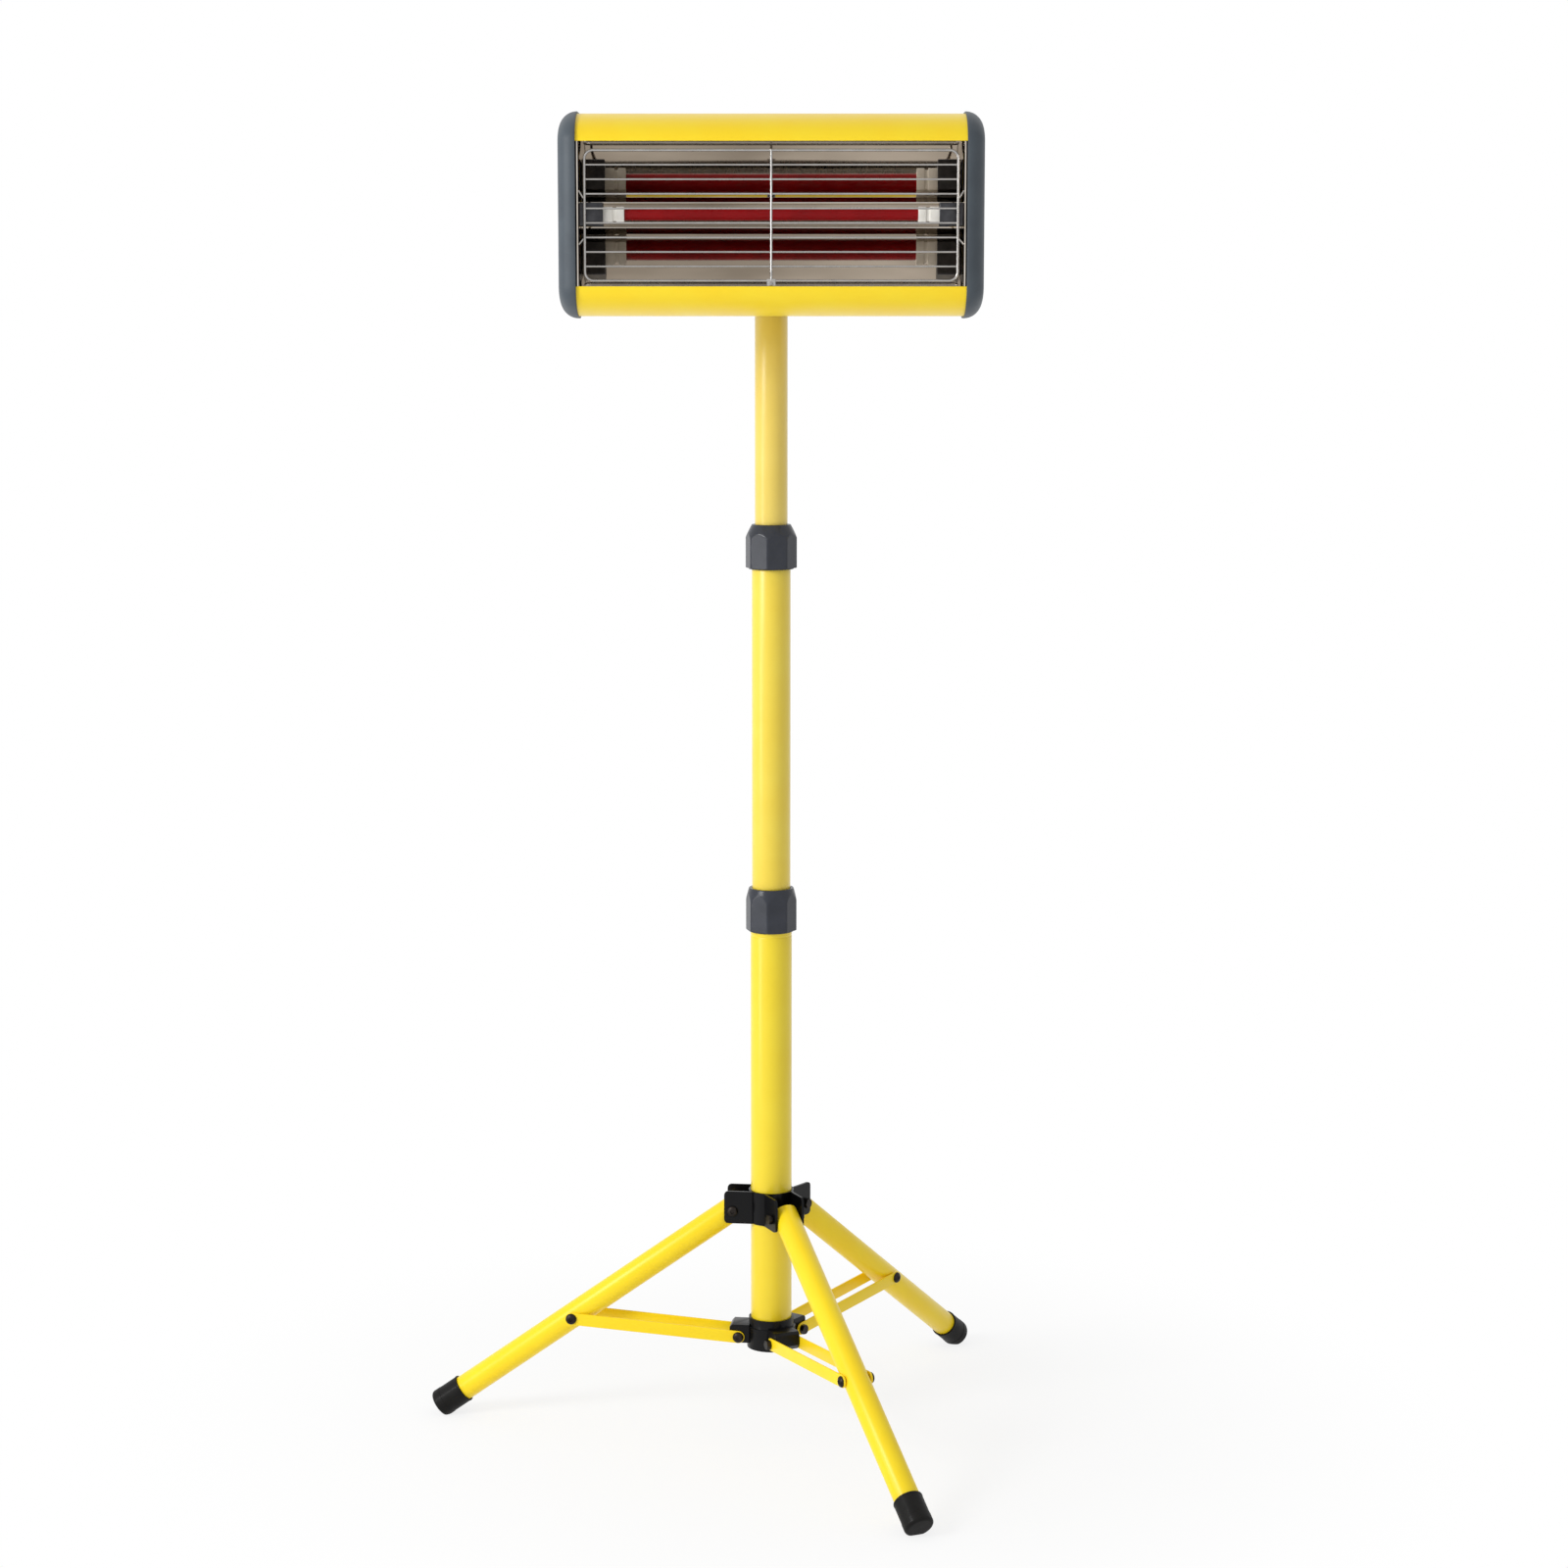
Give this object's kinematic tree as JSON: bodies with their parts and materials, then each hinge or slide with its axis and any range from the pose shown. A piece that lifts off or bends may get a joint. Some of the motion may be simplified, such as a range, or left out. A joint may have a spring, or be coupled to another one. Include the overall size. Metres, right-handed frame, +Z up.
{
  "type": "infrared paint curing lamp",
  "caption": "Infrared paint curing lamp: a caged heater tube in a trough reflector that tilts and pans on a telescoping mast over a folding tripod",
  "frame": {"origin": "on the floor, under the middle of the whole lamp's footprint in X and Y", "axes": "+Z up along the mast, +X along the lamp tube to the viewer's right, -Y the way the lamp shines"},
  "size_m": [0.5642, 0.6091, 1.307],
  "materials": {
    "yellow_mast": "satin yellow powder coat",
    "yellow_paint": "satin yellow powder coat",
    "yellow_shell": "satin yellow powder coat",
    "slate_plastic": "fine-grained slate grey moulding",
    "charcoal_plastic": "satin charcoal moulding",
    "black_plastic": "satin black moulding",
    "black_steel": "black powder coat",
    "black_bolt": "black oxide",
    "rubber": "matte rubber",
    "zinc": "bright zinc plate",
    "mirror_sheet": "mirror polish",
    "ruby_glass": "clear ruby quartz",
    "tungsten": "drawn wire",
    "ceramic": "unglazed white ceramic",
    "holder_steel": "dull pressed steel",
    "chrome_wire": "bright chrome plate",
    "red_plastic": "glossy red moulding"
  },
  "bodies": {
    "base": {"mast_base_tube": "yellow_mast", "base_tube_plug": "charcoal_plastic", "lower_hub": "black_plastic", "brace_hub_bolt_left": "black_bolt", "brace_hub_bolt_front": "black_bolt", "brace_hub_bolt_rear": "black_bolt", "lower_collar_sleeve": "charcoal_plastic"},
    "lower_collar": {"lower_collar_nut": "charcoal_plastic"},
    "middle": {"mast_middle_tube": "yellow_mast", "middle_tube_guide": "charcoal_plastic", "upper_collar_sleeve": "charcoal_plastic"},
    "upper_collar": {"upper_collar_nut": "charcoal_plastic"},
    "top": {"mast_top_tube": "yellow_mast", "top_tube_guide": "charcoal_plastic"},
    "hub": {"upper_hub": "black_steel", "leg_pivot_bolt_left": "black_bolt", "leg_pivot_bolt_front": "black_bolt", "leg_pivot_bolt_rear": "black_bolt"},
    "hub_knob": {"hub_lock_knob": "black_plastic"},
    "leg_left": {"leg_tube_left": "yellow_paint", "foot_cap_left": "rubber"},
    "leg_front": {"leg_tube_front": "yellow_paint", "foot_cap_front": "rubber"},
    "leg_rear": {"leg_tube_rear": "yellow_paint", "foot_cap_rear": "rubber"},
    "brace_left": {"brace_left_a": "yellow_paint", "brace_left_b": "yellow_paint", "brace_pin_left_a": "black_bolt", "brace_pin_left_b": "black_bolt"},
    "brace_front": {"brace_front_a": "yellow_paint", "brace_front_b": "yellow_paint", "brace_pin_front_a": "black_bolt", "brace_pin_front_b": "black_bolt"},
    "brace_rear": {"brace_rear_a": "yellow_paint", "brace_rear_b": "yellow_paint", "brace_pin_rear_a": "black_bolt", "brace_pin_rear_b": "black_bolt"},
    "swivel": {"head_swivel": "black_plastic"},
    "pan_knob": {"pan_lock_knob": "black_plastic"},
    "head": {"rear_bracket": "black_steel", "tilt_bolt": "zinc", "housing_shell": "yellow_shell", "end_cap_left": "slate_plastic", "end_cap_right": "slate_plastic", "reflector": "mirror_sheet", "reflector_end_left": "mirror_sheet", "reflector_end_right": "mirror_sheet", "lamp_glass": "ruby_glass", "filament": "tungsten", "lamp_base_left": "ceramic", "lamp_base_right": "ceramic", "lamp_holder_left": "holder_steel", "lamp_holder_right": "holder_steel", "wire_guard": "chrome_wire", "guard_screw": "chrome_wire", "terminal_block": "ceramic", "cord_gland": "black_plastic", "switch_body": "black_plastic"},
    "tilt_handle": {"tilt_knob": "black_plastic"},
    "rocker": {"switch_rocker": "red_plastic"}
  },
  "joints": [
    {"name": "lower_collar_twist", "type": "hinge", "parent": "base", "child": "lower_collar", "pos_m": [0.06542, 0.01821, 0.5125], "axis": [0, 0, 1], "range_deg": [0, 90]},
    {"name": "middle_slide", "type": "slide", "parent": "base", "child": "middle", "axis": [0, 0, 1], "range_m": [-0.296, 0]},
    {"name": "upper_collar_twist", "type": "hinge", "parent": "middle", "child": "upper_collar", "pos_m": [0.06542, 0.01821, 0.8735], "axis": [0, 0, 1], "range_deg": [0, 90]},
    {"name": "top_slide", "type": "slide", "parent": "middle", "child": "top", "axis": [0, 0, 1], "range_m": [-0.202, 0]},
    {"name": "hub_slide", "type": "slide", "parent": "base", "child": "hub", "axis": [0, 0, 1], "range_m": [0, 0.2422]},
    {"name": "hub_knob_turn", "type": "hinge", "parent": "hub", "child": "hub_knob", "pos_m": [0.06542, 0.01821, 0.23027], "axis": [-0.4003, 0.9164, 0], "range_deg": [0, 180]},
    {"name": "leg_fold_left", "type": "hinge", "parent": "hub", "child": "leg_left", "pos_m": [0.02815, 0.0224, 0.22627], "axis": [-0.1115, -0.9938, 0], "range_deg": [0, 51.05]},
    {"name": "leg_fold_front", "type": "hinge", "parent": "hub", "child": "leg_front", "pos_m": [0.08043, -0.01615, 0.22627], "axis": [0.9164, 0.4003, 0], "range_deg": [0, 51.05]},
    {"name": "leg_fold_rear", "type": "hinge", "parent": "hub", "child": "leg_rear", "pos_m": [0.08767, 0.0484, 0.22627], "axis": [-0.8049, 0.5934, 0], "range_deg": [0, 51.05]},
    {"name": "brace_swing_left", "type": "hinge", "parent": "base", "child": "brace_left", "pos_m": [0.03362, 0.02178, 0.0952], "axis": [0.1115, 0.9938, 0], "range_deg": [0, 79.6]},
    {"name": "brace_swing_front", "type": "hinge", "parent": "base", "child": "brace_front", "pos_m": [0.07823, -0.01111, 0.0952], "axis": [-0.9164, -0.4003, 0], "range_deg": [0, 79.6]},
    {"name": "brace_swing_rear", "type": "hinge", "parent": "base", "child": "brace_rear", "pos_m": [0.08441, 0.04397, 0.0952], "axis": [0.8049, -0.5934, 0], "range_deg": [0, 79.6]},
    {"name": "head_pan", "type": "hinge", "parent": "top", "child": "swivel", "pos_m": [0.06542, 0.01821, 1.15], "axis": [0, 0, 1], "range_deg": [-170, 170]},
    {"name": "pan_knob_turn", "type": "hinge", "parent": "swivel", "child": "pan_knob", "pos_m": [0.06542, 0.01821, 1.137], "axis": [0, 1, 0], "range_deg": [0, 180]},
    {"name": "head_tilt", "type": "hinge", "parent": "swivel", "child": "head", "pos_m": [0.06542, 0.01821, 1.2115], "axis": [-1, 0, 0], "range_deg": [-20, 75]},
    {"name": "tilt_knob_turn", "type": "hinge", "parent": "head", "child": "tilt_handle", "pos_m": [0.06542, 0.01821, 1.2115], "axis": [1, 0, 0], "range_deg": [0, 180]},
    {"name": "switch_rock", "type": "hinge", "parent": "head", "child": "rocker", "pos_m": [-0.03958, -0.03159, 1.2015], "axis": [0, 0, 1], "range_deg": [-14, 0]}
  ],
  "couplings": [
    {"joint": "leg_fold_left", "follows": "hub_slide", "rad_per_m": 3.6765},
    {"joint": "leg_fold_front", "follows": "hub_slide", "rad_per_m": 3.6765},
    {"joint": "leg_fold_rear", "follows": "hub_slide", "rad_per_m": 3.6765},
    {"joint": "brace_swing_left", "follows": "hub_slide", "rad_per_m": 5.7334},
    {"joint": "brace_swing_front", "follows": "hub_slide", "rad_per_m": 5.7334},
    {"joint": "brace_swing_rear", "follows": "hub_slide", "rad_per_m": 5.7334}
  ]
}
